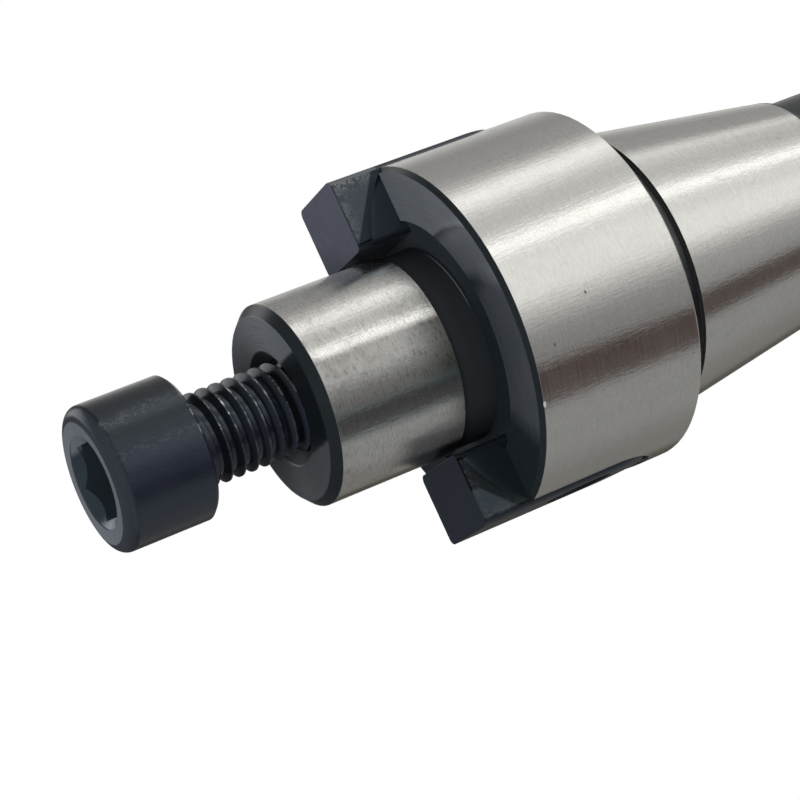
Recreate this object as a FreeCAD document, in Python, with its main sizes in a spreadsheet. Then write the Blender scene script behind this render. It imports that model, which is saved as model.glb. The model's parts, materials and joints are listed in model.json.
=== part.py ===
import FreeCAD, Part
import math
import os
import re
import Sketcher

# Face mill arbor standing on its drawbar end. The axis of the arbor is Z, the origin is the
# centre of the rear face, and the pilot and the clamp screw point up. Lengths are millimetres.
SIZES = {
    # spindle shank, from the rear face up to the large end of the taper
    "shank_length": 101.6,
    "shank_diameter": 24.12,
    "shank_bearing_length": 44.0,
    "shank_chamfer": 1.0,
    "waist_diameter": 23.4,
    "waist_fillet": 0.6,
    "taper_length": 23.8,
    "taper_large_diameter": 31.75,
    "taper_small_diameter": 24.7,
    "spindle_keyway_width": 4.0,
    "spindle_keyway_depth": 3.2,
    "spindle_keyway_length": 60.0,
    "drawbar_thread_diameter": 12.0,
    "drawbar_thread_depth": 32.0,
    "drawbar_mouth_chamfer": 1.0,
    # groove between the taper and the flange
    "groove_width": 3.4,
    "groove_diameter": 30.6,
    # flange that carries the drive keys and the seat of the cutter
    "flange_diameter": 39.5,
    "flange_length": 20.0,
    "flange_front_chamfer": 0.5,
    "flange_rear_chamfer": 0.3,
    "recess_diameter": 28.0,
    "recess_depth": 0.6,
    # pilot that centres the cutter
    "pilot_diameter": 22.0,
    "pilot_length": 19.0,
    "pilot_chamfer": 1.0,
    "pilot_relief_diameter": 21.5,
    "pilot_relief_length": 3.5,
    "screw_hole_depth": 33.0,
    "screw_hole_mouth_diameter": 12.6,
    # drive keys, let into the flange
    "key_width": 10.0,
    "key_height": 8.0,
    "key_length": 22.0,
    "key_protrusion": 5.6,
    "key_edge_radius": 0.8,
    "key_pilot_gap": 0.6,
    "key_side_clearance": 0.02,
    "key_end_clearance": 0.3,
    # cap screws that hold the drive keys
    "key_screw_diameter": 4.0,
    "key_screw_length": 8.0,
    "key_screw_head_diameter": 7.0,
    "key_screw_head_height": 4.0,
    "key_screw_head_chamfer": 0.3,
    "key_screw_socket_width": 3.0,
    "key_screw_socket_depth": 2.0,
    "key_screw_sink": 0.5,
    "key_screw_hole_clearance": 0.25,
    "key_screw_tip_clearance": 0.6,
    # clamp screw that holds the cutter on the pilot
    "clamp_thread_diameter": 9.86,
    "clamp_thread_pitch": 1.5,
    "clamp_thread_depth": 0.81,
    "clamp_screw_length": 30.0,
    "clamp_neck_diameter": 9.5,
    "clamp_neck_length": 1.6,
    "clamp_tip_chamfer": 0.9,
    "clamp_head_diameter": 15.6,
    "clamp_head_height": 10.0,
    "clamp_head_rounding": 1.1,
    "clamp_head_lower_chamfer": 0.35,
    "clamp_head_fillet": 0.4,
    "clamp_socket_width": 8.0,
    "clamp_socket_depth": 5.0,
    "clamp_socket_mouth_diameter": 10.0,
    # how far the screw is backed out of the pilot, and how its socket is turned
    "clamp_standout": 11.2,
    "clamp_turn": 25.5,
    # radial clearance of a screw's thread in the hole that takes it
    "thread_clearance": 0.05,
}

# Heights above the rear face, as expressions of the sizes.
TAPER_SMALL = "(shank_length - taper_length)"
TAPER_LARGE = "shank_length"
FLANGE_REAR = f"({TAPER_LARGE} + groove_width)"
SEAT = f"({FLANGE_REAR} + flange_length)"
RECESS_FLOOR = f"({SEAT} - recess_depth)"
PILOT_FACE = f"({SEAT} + pilot_length)"
KEY_FRONT = f"({SEAT} + key_protrusion)"
KEY_TIP = f"({KEY_FRONT} - key_length)"
KEY_SCREW_HEIGHT = f"(({KEY_TIP} + {SEAT}) / 2)"
CLAMP_HEAD_SEAT = f"({PILOT_FACE} + clamp_standout)"
CLAMP_HEAD_TOP = f"({CLAMP_HEAD_SEAT} + clamp_head_height)"
CLAMP_TIP = f"({CLAMP_HEAD_SEAT} - clamp_screw_length)"

# Distances from the axis. A key lies just outside the pilot, so that a cutter's bore can pass
# between the keys, and everything about the key follows from there.
KEY_FLOOR = "(pilot_diameter / 2 + key_pilot_gap)"
KEY_OUTER = f"({KEY_FLOOR} + key_height)"
KEY_SCREW_SEAT = f"({KEY_OUTER} - key_screw_sink - key_screw_head_height)"
KEY_SCREW_TIP = f"({KEY_SCREW_SEAT} - key_screw_length)"
SCREW_HOLE = "(clamp_thread_diameter / 2 + thread_clearance)"
KEY_SCREW_HOLE = "(key_screw_diameter / 2 + thread_clearance)"
DRAWBAR_HOLE = "(drawbar_thread_diameter / 2 + thread_clearance)"

# A drill leaves a 118 degree cone: its depth is this share of its radius.
DRILL_CONE = round(1 / math.tan(math.radians(59)), 4)
# Room that a cutting outline takes beyond the solid it cuts
CUT_MARGIN = 1.0
KEY_NAMES = ("left", "right")

document = FreeCAD.newDocument("face_mill_arbor")


def fill_sheet():
    """Write every size into a named cell of one sheet."""
    sheet = document.addObject("Spreadsheet::Sheet", "sizes")
    for row, (alias, size) in enumerate(SIZES.items(), start=1):
        sheet.set(f"A{row}", alias)
        sheet.set(f"B{row}", str(size))
        sheet.setAlias(f"B{row}", alias)
    document.recompute()
    return sheet


SHEET = fill_sheet()


def bound(text):
    """Return an expression with every size name pointing at its cell."""
    return re.sub(
        r"[a-z_]+", lambda word: f"sizes.{word[0]}" if word[0] in SIZES else word[0], text
    )


def value(text):
    """Return what an expression of the sizes comes to."""
    return float(SHEET.evalExpression(bound(text)))


def origin_item(body, role):
    """Return the plane or axis of a body's origin that has this role."""
    return next(item for item in body.Origin.OriginFeatures if item.Role == role)


def new_body(name):
    body = document.addObject("PartDesign::Body", name)
    body.Label = name
    return body


def new_sketch(body, name, plane, height=None):
    """Add a sketch on an origin plane, lifted along the plane's normal by an expression."""
    sketch = body.newObject("Sketcher::SketchObject", name)
    sketch.AttachmentSupport = [(origin_item(body, plane), "")]
    sketch.MapMode = "FlatFace"
    if height is not None:
        sketch.setExpression("AttachmentOffset.Base.z", bound(height))
    return sketch


def pin_point(sketch, geometry, end, across, up):
    """Hold one end of a line or arc at a place that is given by two expressions."""
    for kind, text in (("DistanceX", across), ("DistanceY", up)):
        number = sketch.addConstraint(
            Sketcher.Constraint(kind, -1, 1, geometry, end, value(text))
        )
        sketch.setExpression(f"Constraints[{number}]", bound(text))


def draw_outline(sketch, corners):
    """Draw a closed outline of straight lines through corners of (across, up) expressions."""
    points = [FreeCAD.Vector(value(across), value(up), 0) for across, up in corners]
    for start, end in zip(points, points[1:] + points[:1]):
        sketch.addGeometry(Part.LineSegment(start, end), False)
    for index, (across, up) in enumerate(corners):
        following = (index + 1) % len(corners)
        sketch.addConstraint(Sketcher.Constraint("Coincident", index, 2, following, 1))
        pin_point(sketch, index, 1, across, up)


def draw_slot(sketch, half_width, square_end, round_end):
    """Draw a slot along the sketch's upright axis, square at one end and round at the other."""
    half = value(half_width)
    # 1 where the round end is the lower one, so that the arc runs on from the left side
    side = 1 if value(round_end) < value(square_end) else -1
    centre_up = f"({round_end} + {side} * {half_width})"
    near, far = f"{side} * {half_width}", f"-{side} * {half_width}"
    corners = [(near, centre_up), (near, square_end), (far, square_end), (far, centre_up)]
    points = [FreeCAD.Vector(value(across), value(up), 0) for across, up in corners]
    for start, end in zip(points, points[1:]):
        sketch.addGeometry(Part.LineSegment(start, end), False)
    circle = Part.Circle((points[0] + points[3]) / 2, FreeCAD.Vector(0, 0, 1), half)
    first_angle = math.pi if side == 1 else 0
    sketch.addGeometry(Part.ArcOfCircle(circle, first_angle, first_angle + math.pi), False)
    for index, (across, up) in enumerate(corners[:3]):
        pin_point(sketch, index, 1, across, up)
        sketch.addConstraint(Sketcher.Constraint("Coincident", index, 2, index + 1, 1))
    sketch.addConstraint(Sketcher.Constraint("Coincident", 3, 2, 0, 1))
    pin_point(sketch, 2, 2, far, centre_up)
    number = sketch.addConstraint(Sketcher.Constraint("DistanceY", -1, 1, 3, 3, points[0].y))
    sketch.setExpression(f"Constraints[{number}]", bound(centre_up))


def draw_circle(sketch, radius, up="0"):
    """Draw a circle on the sketch's upright axis."""
    circle = Part.Circle(FreeCAD.Vector(0, value(up), 0), FreeCAD.Vector(0, 0, 1), value(radius))
    sketch.addGeometry(circle, False)
    pin_point(sketch, 0, 3, "0", up)
    number = sketch.addConstraint(Sketcher.Constraint("Radius", 0, value(radius)))
    sketch.setExpression(f"Constraints[{number}]", bound(radius))


def hexagon(width):
    """Return the corners of a hexagon of this width across its flats."""
    corners = []
    for step in range(6):
        angle = math.radians(60 * step)
        reach = f"{width} / sqrt(3) * "
        corners.append((reach + f"{math.cos(angle):.6f}", reach + f"{math.sin(angle):.6f}"))
    return corners


def revolve(body, kind, name, corners):
    """Turn an outline round the Z axis, to add it (Revolution) or cut it away (Groove)."""
    sketch = new_sketch(body, name + "_outline", "XZ_Plane")
    draw_outline(sketch, corners)
    feature = body.newObject(f"PartDesign::{kind}", name)
    feature.Profile = sketch
    feature.ReferenceAxis = (sketch, ["V_Axis"])
    feature.Angle = 360
    document.recompute()
    return feature


def volume(body):
    document.recompute()
    return body.Shape.Volume


def must_cut(body, name, before):
    """Stop if the body is no smaller than before the cut of this name."""
    if not volume(body) < before:
        raise ValueError(f"{name} cuts nothing")


def bore(body, name, corners):
    """Cut an outline away round the Z axis."""
    before = volume(body)
    revolve(body, "Groove", name, corners)
    must_cut(body, name, before)


def cut(body, name, sketch, depth, outwards=False):
    """Cut a sketch into the body, against its normal or along it."""
    before = volume(body)
    feature = body.newObject("PartDesign::Pocket", name)
    feature.Profile = sketch
    feature.setExpression("Length", bound(depth))
    feature.Reversed = outwards
    must_cut(body, name, before)
    return feature


def repeat_round(body, name, features, count):
    """Repeat cuts evenly round the Z axis."""
    pattern = body.newObject("PartDesign::PolarPattern", name)
    pattern.Originals = features
    pattern.Axis = (origin_item(body, "Z_Axis"), [""])
    pattern.Angle = 360
    pattern.Occurrences = count
    body.Tip = pattern
    return pattern


def make_arbor_body():
    """One steel piece: shank, taper, flange with its key slots, and pilot with its screw hole."""
    body = new_body("arbor_body")
    flange, pilot = "flange_diameter / 2", "pilot_diameter / 2"
    revolve(body, "Revolution", "turned_blank", [
        ("0", "0"),
        ("shank_diameter / 2 - shank_chamfer", "0"),
        ("shank_diameter / 2", "shank_chamfer"),
        ("shank_diameter / 2", "shank_bearing_length"),
        ("waist_diameter / 2", "shank_bearing_length + waist_fillet"),
        ("waist_diameter / 2", f"{TAPER_SMALL} - waist_fillet"),
        ("taper_small_diameter / 2", TAPER_SMALL),
        ("taper_large_diameter / 2", TAPER_LARGE),
        ("groove_diameter / 2", TAPER_LARGE),
        ("groove_diameter / 2", FLANGE_REAR),
        (f"{flange} - flange_rear_chamfer", FLANGE_REAR),
        (flange, f"{FLANGE_REAR} + flange_rear_chamfer"),
        (flange, f"{SEAT} - flange_front_chamfer"),
        (f"{flange} - flange_front_chamfer", SEAT),
        ("recess_diameter / 2", SEAT),
        ("recess_diameter / 2", RECESS_FLOOR),
        ("pilot_relief_diameter / 2", RECESS_FLOOR),
        ("pilot_relief_diameter / 2", f"{SEAT} + pilot_relief_length"),
        (pilot, f"{SEAT} + pilot_relief_length"),
        (pilot, f"{PILOT_FACE} - pilot_chamfer"),
        (f"{pilot} - pilot_chamfer", PILOT_FACE),
        ("0", PILOT_FACE),
    ])
    screw_hole_floor = f"({PILOT_FACE} - screw_hole_depth)"
    mouth = "screw_hole_mouth_diameter / 2"
    bore(body, "screw_hole", [
        ("0", f"{PILOT_FACE} + {CUT_MARGIN}"),
        (f"{mouth} + {CUT_MARGIN}", f"{PILOT_FACE} + {CUT_MARGIN}"),
        (SCREW_HOLE, f"{PILOT_FACE} - ({mouth} - {SCREW_HOLE})"),
        (SCREW_HOLE, screw_hole_floor),
        ("0", f"{screw_hole_floor} - {SCREW_HOLE} * {DRILL_CONE}"),
    ])
    bore(body, "drawbar_hole", [
        ("0", f"-{CUT_MARGIN}"),
        (f"{DRAWBAR_HOLE} + drawbar_mouth_chamfer + {CUT_MARGIN}", f"-{CUT_MARGIN}"),
        (DRAWBAR_HOLE, "drawbar_mouth_chamfer"),
        (DRAWBAR_HOLE, "drawbar_thread_depth"),
        ("0", f"drawbar_thread_depth + {DRAWBAR_HOLE} * {DRILL_CONE}"),
    ])
    keyway_floor = "shank_diameter / 2 - spindle_keyway_depth"
    keyway = new_sketch(body, "keyway_outline", "XZ_Plane", keyway_floor)
    draw_slot(keyway, "(spindle_keyway_width / 2)", f"(-{CUT_MARGIN})", "spindle_keyway_length")
    cut(body, "spindle_keyway", keyway, f"spindle_keyway_depth + {CUT_MARGIN}", outwards=True)
    slot_outline = new_sketch(body, "key_slot_outline", "YZ_Plane", KEY_FLOOR)
    draw_slot(
        slot_outline,
        "(key_width / 2 + key_side_clearance)",
        f"({SEAT} + {CUT_MARGIN})",
        f"({KEY_TIP} - key_end_clearance)",
    )
    slot = cut(body, "key_slot", slot_outline, f"key_height + {CUT_MARGIN}", outwards=True)
    hole_outline = new_sketch(body, "key_screw_hole_outline", "YZ_Plane", KEY_FLOOR)
    draw_circle(hole_outline, KEY_SCREW_HOLE, KEY_SCREW_HEIGHT)
    hole_depth = f"{KEY_FLOOR} - {KEY_SCREW_TIP} + key_screw_tip_clearance"
    hole = cut(body, "key_screw_hole", hole_outline, hole_depth)
    repeat_round(body, "both_key_slots", [slot, hole], len(KEY_NAMES))
    return body


def long_edges(shape, height):
    """Name the edges of a bar that lie in the plane at this X and don't cross its square end."""
    front = shape.BoundBox.ZMax
    names = []
    for number, edge in enumerate(shape.Edges, start=1):
        box = edge.BoundBox
        flat = abs(box.XMin - height) < 1e-6 and abs(box.XMax - height) < 1e-6
        if flat and box.ZMin < front - 1e-6:
            names.append(f"Edge{number}")
    return names


def make_drive_key(side, angle):
    """A bar key with one round end, screwed into its slot with its square end standing out."""
    body = new_body(f"drive_key_{side}")
    outline = new_sketch(body, "bar_outline", "YZ_Plane", KEY_FLOOR)
    draw_slot(outline, "(key_width / 2)", KEY_FRONT, KEY_TIP)
    bar = body.newObject("PartDesign::Pad", "bar")
    bar.Profile = outline
    bar.setExpression("Length", "sizes.key_height")
    document.recompute()
    rounding = body.newObject("PartDesign::Fillet", "rounded_edges")
    edges = long_edges(bar.Shape, value(KEY_FLOOR)) + long_edges(bar.Shape, value(KEY_OUTER))
    rounding.Base = (bar, edges)
    rounding.setExpression("Radius", "sizes.key_edge_radius")
    body.Tip = rounding
    seat_outline = new_sketch(body, "head_seat_outline", "YZ_Plane", KEY_SCREW_SEAT)
    clearance = "key_screw_hole_clearance"
    draw_circle(seat_outline, f"key_screw_head_diameter / 2 + {clearance}", KEY_SCREW_HEIGHT)
    seat_depth = f"{KEY_OUTER} - {KEY_SCREW_SEAT} + {CUT_MARGIN}"
    cut(body, "head_seat", seat_outline, seat_depth, outwards=True)
    hole_outline = new_sketch(body, "screw_hole_outline", "YZ_Plane", KEY_SCREW_SEAT)
    draw_circle(hole_outline, f"key_screw_diameter / 2 + {clearance}", KEY_SCREW_HEIGHT)
    cut(body, "screw_hole", hole_outline, f"key_height + {CUT_MARGIN}")
    body.Placement = FreeCAD.Placement(
        FreeCAD.Vector(), FreeCAD.Rotation(FreeCAD.Vector(0, 0, 1), angle)
    )
    return body


def make_key_screw(side, angle):
    """A small cap screw, drawn upright about Z and then laid through its key."""
    body = new_body(f"key_screw_{side}")
    head, shank = "key_screw_head_diameter / 2", "key_screw_diameter / 2"
    head_top = "key_screw_head_height"
    revolve(body, "Revolution", "turned_screw", [
        ("0", "-key_screw_length"),
        (f"{shank} - key_screw_head_chamfer", "-key_screw_length"),
        (shank, "-key_screw_length + key_screw_head_chamfer"),
        (shank, "0"),
        (head, "0"),
        (head, f"{head_top} - key_screw_head_chamfer"),
        (f"{head} - key_screw_head_chamfer", head_top),
        ("0", head_top),
    ])
    socket = new_sketch(body, "socket_outline", "XY_Plane", head_top)
    draw_outline(socket, hexagon("key_screw_socket_width"))
    cut(body, "socket", socket, "key_screw_socket_depth")
    lie_down = FreeCAD.Rotation(FreeCAD.Vector(0, 1, 0), 90)
    swing = FreeCAD.Rotation(FreeCAD.Vector(0, 0, 1), angle)
    seat = FreeCAD.Vector(value(KEY_SCREW_SEAT), 0, value(KEY_SCREW_HEIGHT))
    body.Placement = FreeCAD.Placement(swing.multVec(seat), swing.multiply(lie_down))
    return body


def rim_edge(shape, radius, height):
    """Name the full circle of this radius at this height."""
    for number, edge in enumerate(shape.Edges, start=1):
        box = edge.BoundBox
        level = abs(box.ZMin - height) < 1e-6 and abs(box.ZMax - height) < 1e-6
        if level and abs(box.XMax - radius) < 1e-6:
            return f"Edge{number}"
    raise ValueError("no rim to round")


def make_clamp_screw():
    """The cap screw in the pilot, with its thread cut as one helical groove."""
    body = new_body("clamp_screw")
    head, thread = "clamp_head_diameter / 2", "clamp_thread_diameter / 2"
    neck, neck_end = "clamp_neck_diameter / 2", f"({CLAMP_HEAD_SEAT} - clamp_neck_length)"
    blank = revolve(body, "Revolution", "turned_screw", [
        ("0", CLAMP_TIP),
        (f"{thread} - clamp_tip_chamfer", CLAMP_TIP),
        (thread, f"{CLAMP_TIP} + clamp_tip_chamfer"),
        (thread, f"{neck_end} - ({thread} - {neck})"),
        (neck, neck_end),
        (neck, f"{CLAMP_HEAD_SEAT} - clamp_head_fillet"),
        (f"{neck} + clamp_head_fillet", CLAMP_HEAD_SEAT),
        (f"{head} - clamp_head_lower_chamfer", CLAMP_HEAD_SEAT),
        (head, f"{CLAMP_HEAD_SEAT} + clamp_head_lower_chamfer"),
        (head, CLAMP_HEAD_TOP),
        ("0", CLAMP_HEAD_TOP),
    ])
    rounding = body.newObject("PartDesign::Fillet", "head_rounding")
    rim = rim_edge(blank.Shape, value(head), value(CLAMP_HEAD_TOP))
    rounding.Base = (blank, [rim])
    rounding.setExpression("Radius", "sizes.clamp_head_rounding")
    body.Tip = rounding
    mouth, flat = "clamp_socket_mouth_diameter / 2", "clamp_socket_width / 2"
    bore(body, "socket_mouth", [
        ("0", f"{CLAMP_HEAD_TOP} + {CUT_MARGIN}"),
        (mouth, f"{CLAMP_HEAD_TOP} + {CUT_MARGIN}"),
        (mouth, CLAMP_HEAD_TOP),
        (flat, f"{CLAMP_HEAD_TOP} - ({mouth} - {flat})"),
        ("0", f"{CLAMP_HEAD_TOP} - ({mouth} - {flat})"),
    ])
    socket = new_sketch(body, "socket_outline", "XY_Plane", CLAMP_HEAD_TOP)
    draw_outline(socket, hexagon("clamp_socket_width"))
    cut(body, "socket", socket, "clamp_socket_depth")
    floor = f"({CLAMP_HEAD_TOP} - clamp_socket_depth)"
    bore(body, "socket_drill_point", [
        ("0", floor),
        (flat, floor),
        ("0", f"{floor} - {flat} * {DRILL_CONE}"),
    ])
    start = f"({CLAMP_TIP} - clamp_thread_pitch)"
    root, crest = f"({thread} - clamp_thread_depth)", f"({thread} + clamp_thread_depth / 8)"
    root_half = "clamp_thread_pitch / 8"
    crest_half = f"({root_half} + ({crest} - {root}) * {math.tan(math.radians(30)):.6f})"
    groove = new_sketch(body, "thread_groove", "XZ_Plane")
    draw_outline(groove, [
        (crest, f"{start} - {crest_half}"),
        (crest, f"{start} + {crest_half}"),
        (root, f"{start} + {root_half}"),
        (root, f"{start} - {root_half}"),
    ])
    before = volume(body)
    thread_cut = body.newObject("PartDesign::SubtractiveHelix", "thread")
    thread_cut.Profile = groove
    thread_cut.ReferenceAxis = (groove, ["V_Axis"])
    thread_cut.Mode = "pitch-height-angle"
    thread_cut.setExpression("Pitch", "sizes.clamp_thread_pitch")
    thread_cut.setExpression(
        "Height", bound("clamp_screw_length - clamp_neck_length + clamp_thread_pitch")
    )
    must_cut(body, "thread", before)
    body.Placement = FreeCAD.Placement(
        FreeCAD.Vector(), FreeCAD.Rotation(FreeCAD.Vector(0, 0, 1), value("clamp_turn"))
    )
    return body


def check_and_write(bodies):
    """Stop if anything failed, and otherwise write each piece to its own file."""
    document.recompute()
    for item in document.Objects:
        if {"Invalid", "Error"} & set(item.State):
            raise ValueError(f"{item.Name} failed: {item.State}")
    for body in bodies:
        if body.Shape.isNull() or not body.Shape.isValid():
            raise ValueError(f"{body.Label} has no valid shape")
        if len(body.Shape.Solids) != 1:
            raise ValueError(f"{body.Label} is {len(body.Shape.Solids)} solids, not one")
    os.makedirs("parts", exist_ok=True)
    for body in bodies:
        body.Shape.exportStep(f"parts/{body.Label}.step")


pieces = [make_arbor_body(), make_clamp_screw()]
for index, side in enumerate(KEY_NAMES):
    turned = 180 - 360 / len(KEY_NAMES) * index
    pieces.append(make_drive_key(side, turned))
    pieces.append(make_key_screw(side, turned))
check_and_write(pieces)
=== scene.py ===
import json
import math

import bpy
import numpy as np
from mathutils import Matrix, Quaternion, Vector


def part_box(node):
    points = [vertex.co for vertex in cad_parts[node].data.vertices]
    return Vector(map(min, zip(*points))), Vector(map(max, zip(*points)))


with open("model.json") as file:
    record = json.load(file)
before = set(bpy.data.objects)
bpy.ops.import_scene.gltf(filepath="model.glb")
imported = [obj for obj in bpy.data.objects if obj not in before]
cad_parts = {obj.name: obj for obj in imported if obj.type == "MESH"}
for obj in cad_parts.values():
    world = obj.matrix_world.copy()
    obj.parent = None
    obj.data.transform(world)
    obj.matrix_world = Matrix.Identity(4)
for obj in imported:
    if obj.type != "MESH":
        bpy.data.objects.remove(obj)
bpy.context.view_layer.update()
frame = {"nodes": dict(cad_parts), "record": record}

MM = 0.001
mounts = {m["name"]: m for m in frame["record"]["mounts"]}

# Stations along the arbor's axis and radii about it, in millimetres, read from the pack.
FLANGE_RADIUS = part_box("arbor_body")[1].x / MM
PILOT_RADIUS = mounts["pilot"]["dims"]["r_mm"]
PILOT_HALF = mounts["pilot"]["dims"]["length_mm"] / 2
PILOT_START = mounts["pilot"]["pos_m"][2] / MM - PILOT_HALF
PILOT_END = mounts["pilot"]["pos_m"][2] / MM + PILOT_HALF
SEAT = mounts["cutter_seat"]["pos_m"][2] / MM
TAPER_END = mounts["spindle_taper"]["pos_m"][2] / MM
TAPER_START = TAPER_END - mounts["spindle_taper"]["dims"]["length_mm"]
BEARING_HALF = mounts["rear_bearing"]["dims"]["length_mm"] / 2
BEARING_MIDDLE = mounts["rear_bearing"]["pos_m"][2] / MM
HEAD_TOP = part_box("clamp_screw")[1].z / MM
HEAD_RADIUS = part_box("clamp_screw")[1].x / MM
KEY_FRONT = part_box("drive_key_left")[1].z / MM
KEY_HALF_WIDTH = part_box("drive_key_left")[1].y / MM
KEY_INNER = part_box("drive_key_right")[0].x / MM
KEY_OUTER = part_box("drive_key_right")[1].x / MM

# Sizes that the pack doesn't name, in millimetres.
GROOVE_WIDTH = 3.4
RECESS_RADIUS = 14.0
RECESS_DEPTH = 0.6
NECK_RADIUS = 10.75
FLANGE_FRONT_CHAMFER = 0.5
FLANGE_REAR_CHAMFER = 0.3
PILOT_CHAMFER = 1.0
SCREW_HOLE_RADIUS = 4.98
SCREW_HOLE_MOUTH_RADIUS = 6.3
HEAD_HEIGHT = 10.0
SOCKET_MOUTH_RADIUS = 5.0
SOCKET_MOUTH_DEPTH = 1.0
THREAD_RADIUS = 4.93
KEY_EDGE_RADIUS = 0.8

FLANGE_REAR = TAPER_END + GROOVE_WIDTH
RECESS_FLOOR = SEAT - RECESS_DEPTH
PILOT_FACE = PILOT_END + PILOT_CHAMFER
HEAD_SEAT = HEAD_TOP - HEAD_HEIGHT

# Colours of the ground steel.
STEEL_DARK = (0.475, 0.475, 0.465)
STEEL_LIGHT = (0.82, 0.82, 0.8)
STEEL_MARKED = (0.06, 0.06, 0.06)
STEEL_COOL_REFLECTION = (0.3, 0.4, 0.43)
STEEL_HAZED = (0.2, 0.2, 0.21)
STEEL_CHAMFER = (0.9, 0.89, 0.86)
STEEL_BURR_GLINT = (0.85, 0.85, 0.83)

# Colours of the black oxide on the body, the clamp screw and the drive keys.
BODY_DARK = (0.011, 0.0163, 0.0208)
BODY_LIGHT = (0.015, 0.0208, 0.026)
BODY_FACE = (0.004, 0.006, 0.008)
BODY_PAINTED_LIGHT = (0.3, 0.325, 0.365)
BODY_GLINT = (0.3, 0.32, 0.34)
SCREW_DARK = (0.0125, 0.019, 0.029)
SCREW_LIGHT = (0.023, 0.025, 0.042)
SCREW_GREEN = (0.018, 0.0225, 0.0245)
SCREW_LOWER_LIGHT = (0.034, 0.042, 0.054)
SCREW_THREAD = (0.05, 0.06, 0.08)
SCREW_HIGHLIGHT = (0.085, 0.092, 0.102)
SCREW_ROUNDING = (0.036, 0.043, 0.054)
SCREW_SOCKET_LIGHT = (0.034, 0.046, 0.06)
SCREW_MOUTH_END = (0.17, 0.185, 0.21)
SCREW_RING_LIGHT = (0.19, 0.207, 0.245)
SCREW_WORN_GLINT = (0.62, 0.64, 0.66)
KEY_DARK = (0.0125, 0.018, 0.025)
KEY_LIGHT = (0.016, 0.021, 0.031)
KEY_PAINTED_LIGHT = (0.11, 0.118, 0.155)
KEY_INSIDE_LIGHT = (0.08, 0.086, 0.095)
KEY_ROUNDING_HIGHLIGHT = (0.12, 0.138, 0.145)
KEY_UPPER_SHADE = (0.027, 0.033, 0.044)
KEY_UPPER_WEDGE_SHADE = (0.017, 0.021, 0.028)
KEY_LOWER_SHADE = (0.0115, 0.0175, 0.0215)
KEY_LOWER_WEDGE_SHADE = (0.0105, 0.0135, 0.0155)
KEY_TORN_AND_HIGHLIGHT = (0.31, 0.318, 0.33)
KEY_EDGE_REFLECTION = (0.004, 0.005, 0.006)

# The sheen of the oxide leans to blue, and the lay of every turned surface runs round the axis.
BLUE_SHEEN = (0.84, 1.0, 1.2, 1.0)
ROUND_THE_AXIS = 0.25

# Camera: place in metres, and turns in degrees from looking along +Y.
CAMERA_PLACE = (-0.0323, -0.24045, 0.23893)
CAMERA_AZIMUTH = 6.77
CAMERA_DIP = 23.96
CAMERA_ROLL = -111.9
CAMERA_LENS = 114.55
SENSOR_WIDTH = 36.0


class Wire:
    """An output socket of a node tree. Arithmetic on it adds Math nodes, and node() adds any other node."""

    def __init__(self, tree, socket=None):
        self.tree = tree
        self.socket = socket

    def node(self, kind, settings=None, inputs=None, output=0):
        """Adds a node, makes its settings, then sets or links its inputs, and returns one of its outputs."""
        made = self.tree.nodes.new(kind)
        for name, value in (settings or {}).items():
            setattr(made, name, value)
        for name, value in (inputs or {}).items():
            if isinstance(value, Wire):
                self.tree.links.new(value.socket, made.inputs[name])
            else:
                made.inputs[name].default_value = value
        return Wire(self.tree, made.outputs[output] if len(made.outputs) else None)

    def math(self, operation, first, *rest):
        return self.node("ShaderNodeMath", {"operation": operation}, dict(enumerate((first,) + rest)))

    def __add__(self, other):
        return self.math("ADD", self, other)

    def __radd__(self, other):
        return self.math("ADD", other, self)

    def __sub__(self, other):
        return self.math("SUBTRACT", self, other)

    def __rsub__(self, other):
        return self.math("SUBTRACT", other, self)

    def __mul__(self, other):
        return self.math("MULTIPLY", self, other)

    def __rmul__(self, other):
        return self.math("MULTIPLY", other, self)

    def __truediv__(self, other):
        return self.math("DIVIDE", self, other)

    def __pow__(self, other):
        return self.math("POWER", self, other)


def smooth(value, low, high):
    """0 below low and 1 above high, with a soft S between them."""
    settings = {"interpolation_type": "SMOOTHSTEP"}
    return value.node("ShaderNodeMapRange", settings, {"Value": value, "From Min": low, "From Max": high})


def zone(value, low, high, soft=0.03):
    """1 between low and high, and 0 outside, with edges that are soft by that much."""
    return smooth(value, low - soft, low + soft) - smooth(value, high - soft, high + soft)


def tint(factor, first, second):
    """The colour first where factor is 0 and second where it is 1."""
    colours = [c if isinstance(c, Wire) else (*c, 1.0) for c in (first, second)]
    inputs = {0: factor, 6: colours[0], 7: colours[1]}
    return factor.node("ShaderNodeMix", {"data_type": "RGBA"}, inputs, output=2)


def layered(colour, *layers):
    """The colour with each layer laid over it in turn. A layer is its factor and its own colour."""
    for factor, over in layers:
        colour = tint(factor, colour, over)
    return colour


def absolute(value):
    return value.math("ABSOLUTE", value)


def larger(first, second):
    return first.math("MAXIMUM", first, second)


def noise(x, y, z, detail=3.0, roughness=0.6):
    """Noise from 0 to 1 over the three given numbers, with features about one unit long."""
    vector = z.node("ShaderNodeCombineXYZ", None, {"X": x, "Y": y, "Z": z})
    inputs = {"Vector": vector, "Scale": 1.0, "Detail": detail, "Roughness": roughness}
    return z.node("ShaderNodeTexNoise", None, inputs)


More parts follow.
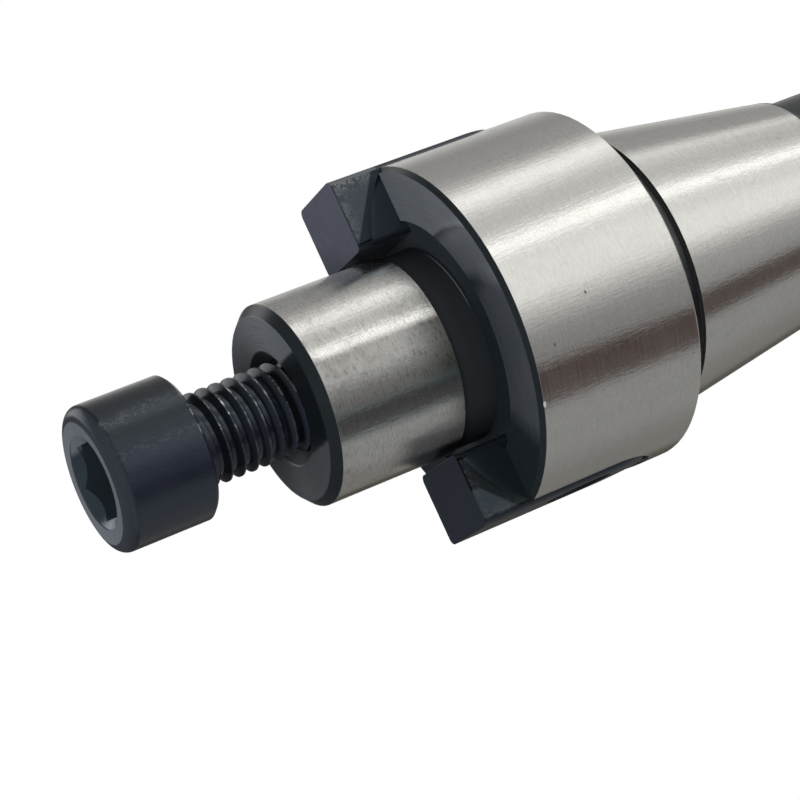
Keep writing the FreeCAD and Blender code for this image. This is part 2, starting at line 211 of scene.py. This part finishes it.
class Finish:
    """A new material, with the object's own x, y and z in millimetres, the radius from the arbor's axis, and
    the azimuth about it in degrees. The photograph is taken from azimuth -98, with the upper key at 0 and the
    lower key at 180."""

    def __init__(self, name):
        self.material = bpy.data.materials.new(name)
        self.material.use_nodes = True
        tree = self.material.node_tree
        self.shader = tree.nodes["Principled BSDF"]
        self.root = Wire(tree)
        place = self.root.node("ShaderNodeTexCoord", output="Object")
        self.x, self.y, self.z = (
            self.root.node("ShaderNodeSeparateXYZ", None, {0: place}, output=i) / MM for i in range(3)
        )
        self.radius = (self.x * self.x + self.y * self.y) ** 0.5
        self.azimuth = self.root.math("ARCTAN2", self.y, self.x) * (180.0 / math.pi)

    def grain(self, across, along, detail=3.0, roughness=0.6, shift=0.0):
        """Noise with that many features for each millimetre round the arbor's axis and along it."""
        return noise(self.x * across + shift, self.y * across, self.z * along, detail, roughness)

    def spot(self, azimuth, height, across, along):
        """1 at a point of the surface, falling to 0 at an oval rim with those half widths in millimetres."""
        round_it = (self.azimuth - azimuth) * self.radius * (math.pi / 180.0 / across)
        up = (self.z - height) / along
        return smooth(1.0 - (round_it * round_it + up * up), 0.0, 0.7)

    def bump(self, height, microns):
        """Raises the surface by height times that many microns."""
        inputs = {"Height": height, "Distance": microns * 1e-6, "Strength": 1.0}
        return self.root.node("ShaderNodeBump", None, inputs)

    def set(self, **values):
        """Sets or links the shader's sockets, whose names are given with _ for a blank."""
        for name, value in values.items():
            socket = self.shader.inputs[name.replace("_", " ")]
            if isinstance(value, Wire):
                self.root.tree.links.new(value.socket, socket)
            else:
                socket.default_value = value
        return self.material


def arbor_steel():
    """Ground steel on the pilot, flange, taper and rear bearing, and oily black oxide everywhere else. The
    steel has a lay and short strokes round the axis, chatter, scratches, and painted shade and a painted
    bluish reflection on parts of the pilot. The oxide has painted light on the seat, on the floor of its
    recess and on the pilot's face, in the shapes that the photograph shows lit."""
    f = Finish("arbor_steel")
    pilot = zone(f.z, PILOT_START, PILOT_END)
    flange = zone(f.z, FLANGE_REAR, SEAT - FLANGE_FRONT_CHAMFER)
    flange = flange * smooth(f.radius, FLANGE_RADIUS - 0.35, FLANGE_RADIUS - 0.15)
    taper = zone(f.z, TAPER_START + 0.4, TAPER_END, 0.1)
    bearing = zone(f.z, BEARING_MIDDLE - BEARING_HALF, BEARING_MIDDLE + BEARING_HALF + 1.0)
    ground = (pilot + flange + taper + bearing) * smooth(f.radius, PILOT_RADIUS - 0.2, PILOT_RADIUS - 0.1)
    rear_chamfer = zone(f.z, FLANGE_REAR, FLANGE_REAR + FLANGE_REAR_CHAMFER)
    land = zone(f.radius, RECESS_RADIUS, FLANGE_RADIUS - FLANGE_FRONT_CHAMFER)
    land = land * smooth(f.z, SEAT - 0.1, SEAT - 0.05)
    recess = zone(f.radius, NECK_RADIUS + 0.15, RECESS_RADIUS)
    recess = recess * zone(f.z, RECESS_FLOOR - 0.2, RECESS_FLOOR + 0.2)
    neck = zone(f.radius, NECK_RADIUS - 0.15, NECK_RADIUS + 0.15)
    neck = neck * zone(f.z, RECESS_FLOOR + 0.05, PILOT_START + 0.1)
    face = smooth(f.z, PILOT_FACE - 0.1, PILOT_FACE - 0.02)
    mouth = zone(f.radius, SCREW_HOLE_RADIUS - 0.08, SCREW_HOLE_MOUTH_RADIUS - 0.05)
    mouth = mouth * zone(f.z, PILOT_FACE - 2.0, PILOT_FACE - 0.1)

    lay = noise(f.x * 0.15, f.y * 0.15, (f.z - f.radius) * 5.0, 4.0, 0.7)
    chatter = f.grain(3.2, 0.55, 3.0, 0.65)
    stipple = f.grain(4.5, 2.5, 2.0, 0.6)
    cloud = f.grain(0.13, 0.1, 2.0)
    patch = f.grain(0.4, 0.3, 4.0, 0.7, 11.0)
    wander = patch - 0.5
    scratches = smooth(f.grain(1.1, 7.0, 2.0, 0.5), 0.55, 0.68)
    strokes = f.grain(1.5, 6.5, 3.0, 0.65, 3.0)

    # Ground steel: painted shade on parts of the pilot, a painted bluish reflection, the haze at the pilot's
    # rear, dimples, and burr spots with painted glints.
    level = lay * 0.4 + strokes * 0.6 + (strokes - 0.5) * pilot * 0.5
    # Painted shade on the pilot, darker towards its rear and on two sides, with random darker patches.
    painted_shade_front = smooth(f.azimuth + wander * 12.0, -122.0, -116.0) * (1.0 - smooth(f.azimuth, -84.0, -79.5))
    painted_shade_rear = 1.0 - smooth(f.z, PILOT_START, PILOT_START + 6.0)
    pilot_painted_shade = pilot * (
        painted_shade_front * (0.42 + 0.35 * painted_shade_rear)
        + smooth(f.azimuth, -36.0, -28.0) * 0.3
        + smooth(patch, 0.52, 0.7) * 0.12
    )
    dimples = f.spot(-98.6, 116.8, 0.25, 0.15) * 0.8 + f.spot(-109.5, 121.9, 0.2, 0.15) * 0.6
    # Darkening from real scratches, dimples and patches, and from the painted shade on the pilot.
    marks_and_shade = scratches * (0.05 + 0.17 * pilot) + pilot_painted_shade + dimples + smooth(patch, 0.6, 0.75) * 0.1
    # Painted reflection: a bluish band on one side of the pilot.
    cool_reflection = zone(f.azimuth, -129.0, -111.0, 3.0) * pilot
    haze = zone(f.azimuth, -158.0, -139.0, 4.0) * pilot
    haze = haze * (1.0 - smooth(f.z, PILOT_START + 4.0, PILOT_START + 9.0))
    # Two burr spots painted pale, as glints where they catch the light.
    burrs_with_glints = f.spot(-66.6, 105.15, 0.35, 0.16) + f.spot(-125.5, 124.4, 0.45, 0.18)
    burrs_with_glints = burrs_with_glints * smooth(f.radius, 18.0, 18.5)
    steel = layered(
        tint(level, STEEL_DARK, STEEL_LIGHT),
        (marks_and_shade, STEEL_MARKED),
        (cool_reflection * 0.6, STEEL_COOL_REFLECTION),
        (rear_chamfer, STEEL_CHAMFER),
        (haze * 0.5, STEEL_HAZED),
    )

    # Black oxide: painted light on the seat, in sectors that lean with the radius, and on the pilot's face,
    # with painted shade behind the screw where the face keeps its darker colour; a faint painted lift of light
    # on the recess floor and the neck; and a painted glint on the neck.
    lean = (f.radius - RECESS_RADIUS) * 3.4
    seat_lit = zone(f.azimuth + lean + wander * 5.0, -48.0, 60.0, 1.5) * 0.085
    seat_lit_band = zone(f.azimuth + lean * 0.7, -74.0, -51.0, 5.0) * (0.042 + lean * 0.0015)
    seat_dim = zone(f.azimuth + wander * 9.0, -137.0, -82.0, 5.0) * (0.014 + 0.016 * lay + lean * 0.0007)
    screw_shade = zone(f.x + wander * 0.8, -5.9, 3.6, 0.25) * (1.0 - smooth(f.y, -1.0, 0.0))
    face_lit = (1.0 - screw_shade) * (0.038 + 0.042 * smooth(f.x, -3.0, 3.0))
    recess_lit = smooth(f.x, -2.0, 8.0) * 0.008
    painted_light = land * (seat_lit + seat_lit_band + seat_dim) + face * face_lit + recess * recess_lit
    painted_light = painted_light * (0.7 + 0.6 * lay) + neck * 0.009
    glint = zone(f.z, RECESS_FLOOR + 0.26, RECESS_FLOOR + 0.36) * neck * zone(f.azimuth, -80.0, -40.0, 8.0)
    oxide = layered(
        tint(cloud, BODY_DARK, BODY_LIGHT),
        (face * 0.75, BODY_FACE),
        (painted_light * 5.0, BODY_PAINTED_LIGHT),
        (glint, BODY_GLINT),
    )

    rough = 0.3 + (lay - 0.5) * 0.2 + (cloud - 0.5) * 0.2 + (neck + mouth) * 0.35
    ground_rough = 0.22 + (lay - 0.5) * 0.16 + wander * 0.14 + pilot_painted_shade * 0.12
    height = ground * (chatter * 1.5 + stipple * (0.4 + 0.4 * pilot)) + lay * (0.3 - 0.2 * land)
    return f.set(
        Base_Color=layered(oxide, (ground, steel), (burrs_with_glints, STEEL_BURR_GLINT)),
        Metallic=ground - haze * 0.35 - burrs_with_glints * 0.8,
        Roughness=rough + (ground_rough - rough) * ground,
        IOR=1.65,
        Anisotropic=0.8,
        Anisotropic_Rotation=ROUND_THE_AXIS,
        Normal=f.bump(height, 9.0),
    )


def screw_black():
    """Black oxide on the clamp screw, with painted highlights, mottled, along two bands of the head, a pale
    ring of painted light on its front face, painted light in the socket and on the head's lower side, pale ends
    of the socket's mouth, and wear on the rear rim and on the crests of the thread that is drawn only on the
    lit side, so that it is partly painted glints."""
    f = Finish("clamp_screw_black")
    head = smooth(f.z, HEAD_SEAT - 0.02, HEAD_SEAT + 0.02)
    rim = head * (1.0 - smooth(f.z, HEAD_SEAT + 0.34, HEAD_SEAT + 0.42))
    rim = rim * smooth(f.radius, HEAD_RADIUS - 0.3, HEAD_RADIUS - 0.15)
    crest = zone(f.radius, THREAD_RADIUS - 0.02, THREAD_RADIUS + 0.1, 0.02) * (1.0 - head)
    rounding = smooth(f.z, HEAD_TOP - 1.0, HEAD_TOP - 0.6)
    # Painted light inside the socket.
    mouth = head * smooth(SOCKET_MOUTH_RADIUS + 0.02 - f.radius, 0.0, 0.05)
    mouth_end = mouth * smooth(absolute(f.x), 3.4, 4.2)
    mouth_floor = HEAD_TOP - SOCKET_MOUTH_DEPTH
    mouth_end = mouth_end * smooth(f.z, mouth_floor - 0.05, mouth_floor + 0.05)

    mottle = f.grain(2.6, 1.5, 4.0, 0.7)
    cloud = f.grain(0.3, 0.25, 2.0)
    gaps = f.grain(1.1, 1.1, 3.0, 0.6, 5.0)
    speck = f.grain(4.0, 3.0, 3.0, 0.7, 9.0)
    wander = cloud - 0.5

    # Wear on the rear rim and the thread's crests, bright only on the lit side: partly wear, partly painted
    # glints.
    rim_wear_and_glints = rim * smooth(gaps, 0.46, 0.58) * zone(f.azimuth, -96.0, -58.0, 8.0)
    lit_facing = 0.15 + 0.85 * zone(f.azimuth, -94.0, -42.0, 10.0)
    crest_wear_and_glints = crest * smooth(gaps, 0.44, 0.66) * lit_facing
    wear_and_glints = rim_wear_and_glints * 0.8 + crest_wear_and_glints * 0.75
    # Painted light: a pale ring on the head's front face.
    # The ring's centre lies a little behind the screw's, as the photograph shows the face.
    beside = f.y - 0.6
    ring = zone((f.x * f.x + beside * beside) ** 0.5, 4.9, 6.5, 0.12)
    ring = ring * smooth(f.z, HEAD_TOP - 0.3, HEAD_TOP - 0.15) * (0.8 + 0.2 * smooth(f.y, -3.0, 5.0))
    along = 0.8 + 0.8 * smooth(f.z, HEAD_SEAT + 3.0, HEAD_TOP - 3.0)
    # Painted highlights: bands along the head at fixed azimuths, with a mottled texture.
    bands = (
        zone(f.azimuth + wander * 14.0, -62.5, -54.0, 2.5) * along
        + zone(f.azimuth + wander * 14.0, -90.0, -84.0, 3.0) * 0.5
        + zone(f.azimuth + wander * 60.0, -104.0, -40.0, 14.0) * 0.12
    )
    mottled_highlight = head * smooth(mottle * 0.6 + speck * 0.4, 0.46, 0.62) * bands
    dull = head * zone(f.azimuth, -86.0, -70.0, 5.0)
    # Painted light: the head's lower side is lighter and bluer.
    painted_lower_light = head * (1.0 - smooth(f.x / f.radius, -0.9, -0.4))
    oxide = layered(
        tint(cloud, SCREW_DARK, SCREW_LIGHT),
        (smooth(f.azimuth + wander * 20.0, -90.0, -70.0) * 0.8, SCREW_GREEN),
        (painted_lower_light * 0.6, SCREW_LOWER_LIGHT),
        ((1.0 - head) * 0.22, SCREW_THREAD),
        (mottled_highlight, SCREW_HIGHLIGHT),
        (rounding, SCREW_ROUNDING),
        (mouth, SCREW_SOCKET_LIGHT),
        (mouth_end, SCREW_MOUTH_END),
        (ring, SCREW_RING_LIGHT),
    )
    return f.set(
        Base_Color=tint(wear_and_glints, oxide, SCREW_WORN_GLINT),
        Metallic=wear_and_glints,
        Roughness=0.17 + (mottle - 0.5) * 0.3 + wander * 0.25 + 0.1 * mottled_highlight + 0.22 * dull,
        IOR=1.46,
        Specular_Tint=BLUE_SHEEN,
        Anisotropic=0.4,
        Anisotropic_Rotation=ROUND_THE_AXIS,
        Normal=f.bump(mottle * (0.3 + 0.7 * head), 26.0),
    )


def key_black(name):
    """Black oxide on the drive keys and their screws: half-matt at the front and glossy at the sides, with
    rough pale milling scratches near the upper key's edges and a painted highlight along its outer edge. The
    fronts, the inner faces and the upper key's rounding have painted light, strongest on the upper key, and the
    sides have painted shade, with a painted dark reflection along their front edges. Each side has a dark wedge
    of painted shade beside the seat. There the shader turns to dark metal from the line where the side begins
    to mirror the tent's light, so that the wedge ends at the line that the photograph shows."""
    f = Finish(name)
    span = absolute(f.x)
    breadth = absolute(f.y)
    depth = KEY_FRONT - f.z
    upper = smooth(f.x, -2.0, 2.0)
    lower = 1.0 - upper
    front = smooth(f.z, KEY_FRONT - 0.06, KEY_FRONT - 0.03)
    side = smooth(breadth, KEY_HALF_WIDTH - 0.06, KEY_HALF_WIDTH - 0.03)
    # Painted dark reflection along the sides' front edges.
    front_edge_reflection = side * smooth(f.z, KEY_FRONT - 0.22, KEY_FRONT - 0.16)
    # Painted light on the keys' inner faces.
    inside = 1.0 - smooth(span, KEY_INNER + 0.02, KEY_INNER + 0.08)
    # Painted highlight on the upper key's outer rounding.
    rounding = upper * (1.0 - side) * (1.0 - front) * smooth(f.z, SEAT - 0.2, SEAT + 0.2)
    rounding = rounding * smooth(span, KEY_OUTER - KEY_EDGE_RADIUS, KEY_OUTER - KEY_EDGE_RADIUS + 0.1)
    rounding = rounding * smooth(breadth, KEY_HALF_WIDTH - 0.75, KEY_HALF_WIDTH - 0.6)

    lay = noise(f.x * 0.5, f.y * 4.0, f.z * 0.6, 4.0, 0.7)
    cloud = f.grain(0.3, 0.3, 2.0)
    chips = f.grain(1.9, 1.3, 4.0, 0.7)
    stipple = f.grain(8.0, 8.0, 2.0, 0.7)

    def mirroring(start, first, slope, curve):
        """1 on the outer part of the side, beyond a curve whose distance from the axis is first at the depth
        start, and grows from there with that slope and less that curve."""
        deep = depth - start
        return smooth(span - (first + deep * (slope - deep * curve)), -0.45, 0.35)

    # The wedges' outer edges: a straight line, which the lower key's front part doesn't follow.
    lit = smooth(span - depth * 1.45 - 12.0, -0.15, 0.15)
    lower_lit = smooth(span - larger(depth + 14.8, 15.8), -0.2, 0.2)
    # Painted shade: a dark wedge on each key's side beside the seat, turned to dark metal.
    upper_wedge_shade = side * upper * mirroring(2.0, 12.8, 2.45, 0.28) * (1.0 - lit)
    lower_wedge_shade = side * lower * mirroring(1.2, 13.4, 1.95, 0.17) * (1.0 - lower_lit)

    # Milling scratches near the edges, drawn mostly on the lit part of the upper key's side, and a painted
    # highlight along its outer edge.
    outer = smooth(span, KEY_OUTER - 2.2, KEY_OUTER - 0.5) * (1.0 - 0.6 * smooth(depth, 2.8, 3.8))
    edge = larger(outer, smooth(f.z, KEY_FRONT - 1.6, KEY_FRONT) * 0.5)
    vein = 1.0 - smooth(absolute(chips - 0.52), 0.0, 0.05)
    torn_and_edge_light = side * (
        edge * (vein + smooth(chips, 0.5, 0.6) * 0.3) * (0.15 + 0.85 * upper * lit)
        + upper * lit * smooth(stipple, 0.5, 0.66) * 0.16
        + upper * smooth(span, KEY_OUTER - 0.55, KEY_OUTER - 0.35) * 0.7
    )
    # Painted light on the fronts, strongest on the upper key.
    painted_light = front * (0.05 + 0.75 * upper) * (0.5 + 1.0 * lay)
    # The lower key's sides are painted darker, as painted shade.
    oxide = layered(
        tint(cloud, KEY_DARK, KEY_LIGHT),
        (painted_light, KEY_PAINTED_LIGHT),
        (inside * 0.8, KEY_INSIDE_LIGHT),
        (rounding, KEY_ROUNDING_HIGHLIGHT),
        (side * upper * (1.0 - lit), KEY_UPPER_SHADE),
        (upper_wedge_shade, KEY_UPPER_WEDGE_SHADE),
        (side * lower, KEY_LOWER_SHADE),
        (lower_wedge_shade, KEY_LOWER_WEDGE_SHADE),
        (torn_and_edge_light, KEY_TORN_AND_HIGHLIGHT),
        (front_edge_reflection, KEY_EDGE_REFLECTION),
    )
    return f.set(
        Base_Color=oxide,
        Metallic=upper_wedge_shade + lower_wedge_shade + side * lit * (1.0 - lower_wedge_shade) * (0.46 - 0.32 * upper),
        Roughness=0.3 - 0.17 * side + 0.3 * torn_and_edge_light + (lay - 0.5) * 0.1,
        IOR=1.56,
        Specular_Tint=BLUE_SHEEN,
        Normal=f.bump(lay * 0.2 + torn_and_edge_light * chips * 3.0, 10.0),
    )


def dress():
    """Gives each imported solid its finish."""
    key = key_black("drive_key_black")
    key_screw = key_black("key_screw_black")
    finishes = {
        "arbor_body": arbor_steel(),
        "clamp_screw": screw_black(),
        "drive_key_left": key,
        "drive_key_right": key,
        "key_screw_left": key_screw,
        "key_screw_right": key_screw,
    }
    for name, material in finishes.items():
        for slot in frame["nodes"][name].material_slots:
            slot.material = material


def grid_mesh(name, points, closed=False):
    """A mesh of quads over a grid of points, rows by columns by 3. When it is closed, the last column joins
    the first."""
    rows, columns = points.shape[:2]
    number = np.arange(rows * columns).reshape(rows, columns)
    following = np.roll(number, -1, axis=1) if closed else number[:, 1:]
    start = number if closed else number[:, :-1]
    quads = np.stack([start[:-1], following[:-1], following[1:], start[1:]], axis=-1).reshape(-1, 4)
    mesh = bpy.data.meshes.new(name)
    mesh.from_pydata(points.reshape(-1, 3), [], quads)
    made = bpy.data.objects.new(name, mesh)
    bpy.context.scene.collection.objects.link(made)
    return made


# The light tent, in metres. A panel's lean turns about one height, and stops at one depth below it.
TENT_RADIUS = 0.7
TENT_LOW = -3.0
TENT_HIGH = 1.3
TENT_ROWS = 87
TENT_GLOW = 0.065
LEAN_HEIGHT = -0.2
LEAN_DEPTH = -0.9
WARM = (1.0, 0.985, 0.95)
WHITE = (1.0, 1.0, 1.0)
COOL = (0.94, 1.0, 1.06)
RUSTY = (0.92, 1.0, 0.98)
TALL = (-1.5, 1.5, 0.12)
# Panels of the tent. Azimuth of the centre, half width and width of the soft edge, in degrees; height of the
# centre, half height and height of the soft edge, in metres; lean in degrees of azimuth for each metre down;
# glow added to the tent's own, less than nothing for a dark screen; and colour. The tall panels reach from the
# arbor's foot to the tent's, and the last panel is a band above the arbor's foot for views from below.
PANELS = (
    ((0, 180, 1), TALL, 0, 0.28, WARM),
    ((-53, 49, 26), TALL, 0, 0.62, WARM),
    ((-80, 13, 10), TALL, 0, 0.19, WARM),
    ((-57, 4, 5), TALL, 34, 1.05, WARM),
    ((-40, 9, 10), TALL, 50, -0.24, WARM),
    ((-18, 7, 7), TALL, 66, 0.52, WARM),
    ((10, 14, 24), TALL, 40, 0.07, WARM),
    ((66, 18, 34), TALL, 22, 0.4, WARM),
    ((-143.5, 12.5, 6), TALL, -19, -0.27, RUSTY),
    ((-127, 10, 22), (-0.2, 0.25, 0.2), 0, -0.07, RUSTY),
    ((-115, 14, 16), (-0.85, 0.25, 0.3), 0, 0.14, WARM),
    ((104, 12, 8), TALL, 0, -0.2, WHITE),
    ((128, 26, 40), TALL, 0, -0.1, COOL),
    ((50, 20, 8), (0.45, 0.22, 0.15), 0, 1.0, WHITE),
    ((-110, 85, 20), (0.25, 0.25, 0.15), 0, 0.25, WARM),
)

# The floor under the arbor, in metres, with its share of white glow inside the fade.
FLOOR_RADIUS = 0.12
FLOOR_DROP = 0.0003
FLOOR_RINGS = 13
FLOOR_COLUMNS = 72
FLOOR_FADE = (0.06, 0.11)
FLOOR_SHARE = 0.6
FLOOR_PAPER = (0.85, 0.85, 0.85, 1.0)
FLOOR_GLOW = 1.26

# The backdrop's strengths for the camera, for the floor and dull surfaces, and for polished ones.
BACKDROP_SEEN = 1.0
BACKDROP_LIGHT = 0.6
BACKDROP_MIRRORED = 0.07

# The height that the lamp is turned to, in metres.
FLANGE_HEIGHT = 0.12


def within(off, half, edge):
    """1 where off is less than half, with a smooth S over the edge's width, and 0 beyond."""
    share = np.clip((half + edge / 2 - np.abs(off)) / edge, 0.0, 1.0)
    return share * share * (3.0 - 2.0 * share)


def tent():
    """A round light tent. Each panel adds its glow where the azimuth and the height are both within it, and its
    centre leans with the height."""
    azimuth = np.arange(0, 360, 1.0)
    height = np.linspace(TENT_LOW, TENT_HIGH, TENT_ROWS)[:, None]
    points = np.empty((len(height), len(azimuth), 3))
    points[:, :, 0] = TENT_RADIUS * np.cos(np.radians(azimuth))
    points[:, :, 1] = TENT_RADIUS * np.sin(np.radians(azimuth))
    points[:, :, 2] = height
    glow = np.ones(points.shape) * TENT_GLOW
    for (centre, half, edge), (middle, tall, fade), lean, level, colour in PANELS:
        lifted = np.maximum(height - LEAN_HEIGHT, LEAN_DEPTH)
        off = (azimuth - centre + lean * lifted + 180.0) % 360.0 - 180.0
        share = within(off, half, edge) * within(height - middle, tall, fade)
        glow += level * share[:, :, None] * np.array(colour)
    wall = grid_mesh("tent", points, closed=True)
    layer = wall.data.attributes.new("glow", "FLOAT_VECTOR", "POINT")
    layer.data.foreach_set("vector", np.maximum(glow, 0.0).ravel().astype(np.float32))
    material = bpy.data.materials.new("tent_cloth")
    material.use_nodes = True
    material.node_tree.nodes.clear()
    root = Wire(material.node_tree)
    colour = root.node("ShaderNodeAttribute", {"attribute_name": "glow"}, output="Vector")
    light = root.node("ShaderNodeEmission", None, {"Color": colour, "Strength": 1.0})
    root.node("ShaderNodeOutputMaterial", None, {"Surface": light})
    wall.data.materials.append(material)
    wall.visible_camera = False
    wall.visible_shadow = False


def floor():
    """A pale round floor just under the arbor: white where nothing shades it, and fading into the backdrop at
    its rim. It is clear from below and to reflections, so that it hides nothing and the steel mirrors the
    tent."""
    radius = np.linspace(FLOOR_RADIUS, 0.0, FLOOR_RINGS)
    azimuth = np.linspace(0.0, 2 * math.pi, FLOOR_COLUMNS, endpoint=False)
    points = np.zeros((len(radius), len(azimuth), 3))
    points[:, :, 0] = radius[:, None] * np.cos(azimuth)
    points[:, :, 1] = radius[:, None] * np.sin(azimuth)
    points[:, :, 2] = -FLOOR_DROP
    disc = grid_mesh("floor", points, closed=True)
    material = bpy.data.materials.new("floor_paper")
    material.use_nodes = True
    material.node_tree.nodes.clear()
    root = Wire(material.node_tree)
    place = root.node("ShaderNodeTexCoord", output="Object")
    reach = root.node("ShaderNodeVectorMath", {"operation": "LENGTH"}, {0: place}, output="Value")
    paper = root.node("ShaderNodeBsdfDiffuse", None, {"Color": FLOOR_PAPER})
    white = root.node("ShaderNodeEmission", None, {"Color": (1, 1, 1, 1), "Strength": FLOOR_GLOW})
    share = FLOOR_SHARE + (1.0 - FLOOR_SHARE) * smooth(reach, *FLOOR_FADE)
    sheet = root.node("ShaderNodeMixShader", None, {0: share, 1: paper, 2: white})
    glossy_ray = root.node("ShaderNodeLightPath", output="Is Glossy Ray")
    from_below = root.node("ShaderNodeNewGeometry", output="Backfacing")
    clear = root.node("ShaderNodeBsdfTransparent")
    surface = root.node("ShaderNodeMixShader", None, {0: larger(glossy_ray, from_below), 1: sheet, 2: clear})
    root.node("ShaderNodeOutputMaterial", None, {"Surface": surface})
    disc.data.materials.append(material)


def backdrop():
    """A world that the camera sees white, that polished steel mirrors dark, and that lights the rest softly."""
    world = bpy.data.worlds.new("backdrop")
    world.use_nodes = True
    world.node_tree.nodes.clear()
    root = Wire(world.node_tree)
    camera_ray = root.node("ShaderNodeLightPath", output="Is Camera Ray")
    glossy_ray = root.node("ShaderNodeLightPath", output="Is Glossy Ray")
    strength = (
        BACKDROP_LIGHT
        + (BACKDROP_SEEN - BACKDROP_LIGHT) * camera_ray
        - (BACKDROP_LIGHT - BACKDROP_MIRRORED) * glossy_ray
    )
    light = root.node("ShaderNodeBackground", None, {"Color": (1, 1, 1, 1), "Strength": strength})
    root.node("ShaderNodeOutputWorld", None, {"Surface": light})
    bpy.context.scene.world = world


def lamp(name, azimuth, distance, height, size, power):
    """An area lamp at that azimuth, distance and height, turned to the arbor's flange."""
    data = bpy.data.lights.new(name, "AREA")
    data.shape = "RECTANGLE"
    data.size, data.size_y = size
    data.energy = power
    made = bpy.data.objects.new(name, data)
    bpy.context.scene.collection.objects.link(made)
    turn = math.radians(azimuth)
    made.location = (distance * math.cos(turn), distance * math.sin(turn), height)
    aim = Vector((0, 0, FLANGE_HEIGHT)) - made.location
    made.rotation_mode = "QUATERNION"
    made.rotation_quaternion = aim.to_track_quat("-Z", "Y")
    made.visible_camera = False
    made.visible_glossy = False


def camera():
    """The camera at the photograph's place, turned from looking along +Y by its azimuth, dip and roll."""
    data = bpy.data.cameras.new("camera")
    data.lens = CAMERA_LENS
    data.sensor_width = SENSOR_WIDTH
    data.clip_start = 0.01
    made = bpy.data.objects.new("camera", data)
    bpy.context.scene.collection.objects.link(made)
    azimuth, dip = math.radians(CAMERA_AZIMUTH), math.radians(CAMERA_DIP)
    aim = Vector((math.sin(azimuth) * math.cos(dip), math.cos(azimuth) * math.cos(dip), -math.sin(dip)))
    made.location = CAMERA_PLACE
    made.rotation_mode = "QUATERNION"
    made.rotation_quaternion = aim.to_track_quat("-Z", "Y") @ Quaternion((0, 0, 1), math.radians(CAMERA_ROLL))
    bpy.context.scene.camera = made


dress()
tent()
floor()
backdrop()
lamp("overhead", azimuth=-100, distance=0.35, height=0.9, size=(0.4, 0.4), power=4.0)
camera()
bpy.context.scene.view_settings.view_transform = "Standard"
